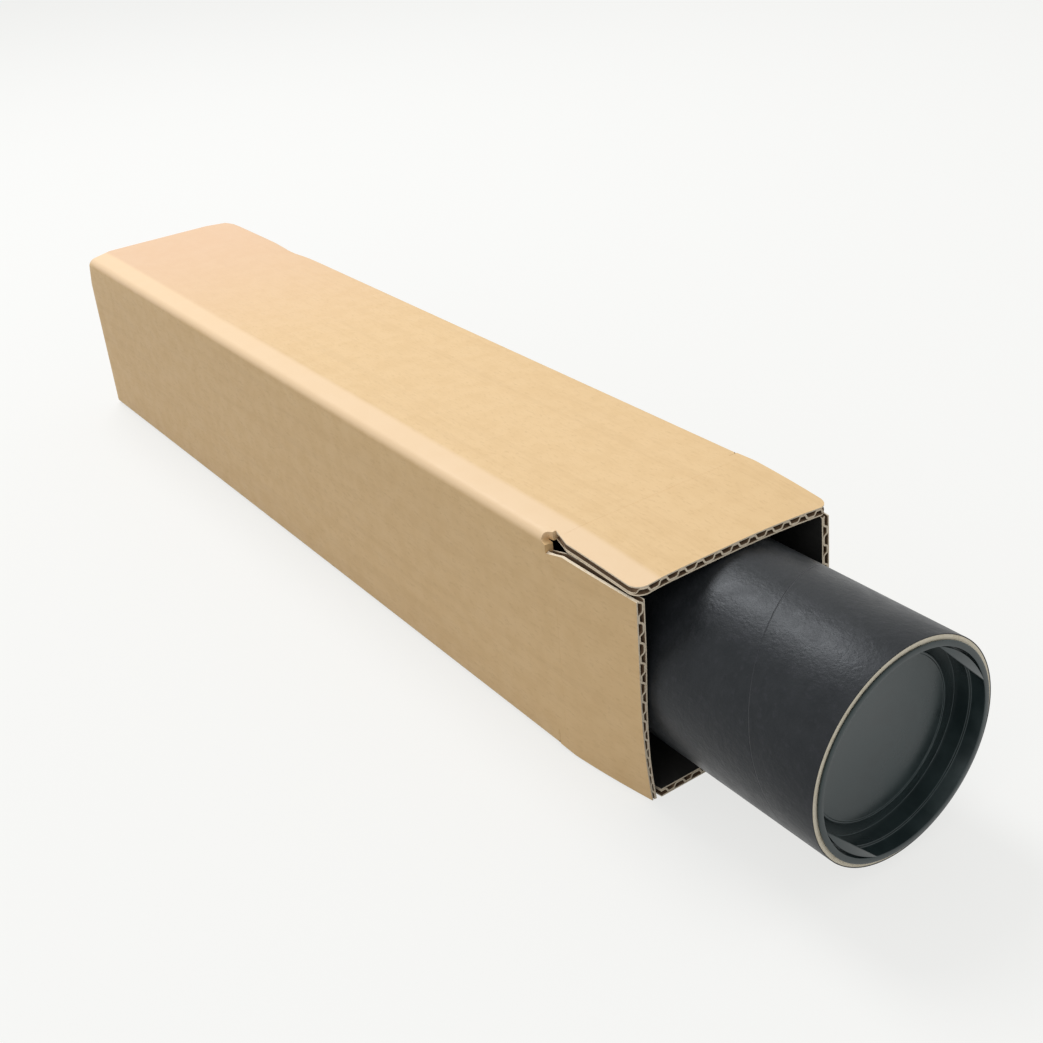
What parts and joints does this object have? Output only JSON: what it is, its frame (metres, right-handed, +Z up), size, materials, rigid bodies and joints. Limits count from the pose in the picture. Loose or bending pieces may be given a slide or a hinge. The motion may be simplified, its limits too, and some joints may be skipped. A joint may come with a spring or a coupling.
{
  "type": "mailing tube in its shipping carton",
  "caption": "Long square corrugated carton with four open end flaps, holding a black board mailing tube with recessed plastic end plugs, drawn part of the way out.",
  "frame": {"origin": "under the middle of the whole pack, on the surface that it lies on", "axes": "+X along the pack towards its open end, +Y towards the side away from the picture's view, +Z up"},
  "size_m": [0.561, 0.09, 0.09],
  "materials": {
    "kraft_board": "matt kraft liner, uncoated",
    "black_tube_board": "black paper with a slight sheen",
    "plug_plastic": "moulded polyethylene, satin"
  },
  "bodies": {
    "carton": {"carton_body": "kraft_board"},
    "top_flap": {"flap_top": "kraft_board"},
    "bottom_flap": {"flap_bottom": "kraft_board"},
    "near_flap": {"flap_near": "kraft_board"},
    "far_flap": {"flap_far": "kraft_board"},
    "tube": {"mailing_tube": "black_tube_board"},
    "front_plug": {"end_plug_front": "plug_plastic"},
    "rear_plug": {"end_plug_rear": "plug_plastic"}
  },
  "joints": [
    {"name": "tube_slide", "type": "slide", "parent": "carton", "child": "tube", "axis": [1, 0, 0], "range_m": [-0.121, 0.343]},
    {"name": "front_plug_pull", "type": "slide", "parent": "tube", "child": "front_plug", "axis": [1, 0, 0], "range_m": [0, 0.014]},
    {"name": "rear_plug_pull", "type": "slide", "parent": "tube", "child": "rear_plug", "axis": [-1, 0, 0], "range_m": [0, 0.014]},
    {"name": "top_flap_fold", "type": "hinge", "parent": "carton", "child": "top_flap", "pos_m": [0.1595, 0, 0.09], "axis": [0, -1, 0], "range_deg": [0, 170]},
    {"name": "bottom_flap_fold", "type": "hinge", "parent": "carton", "child": "bottom_flap", "pos_m": [0.1595, 0, 0], "axis": [0, 1, 0], "range_deg": [0, 170]},
    {"name": "near_flap_fold", "type": "hinge", "parent": "carton", "child": "near_flap", "pos_m": [0.1595, -0.045, 0.045], "axis": [0, 0, -1], "range_deg": [0, 170]},
    {"name": "far_flap_fold", "type": "hinge", "parent": "carton", "child": "far_flap", "pos_m": [0.1595, 0.045, 0.045], "axis": [0, 0, 1], "range_deg": [0, 170]}
  ]
}
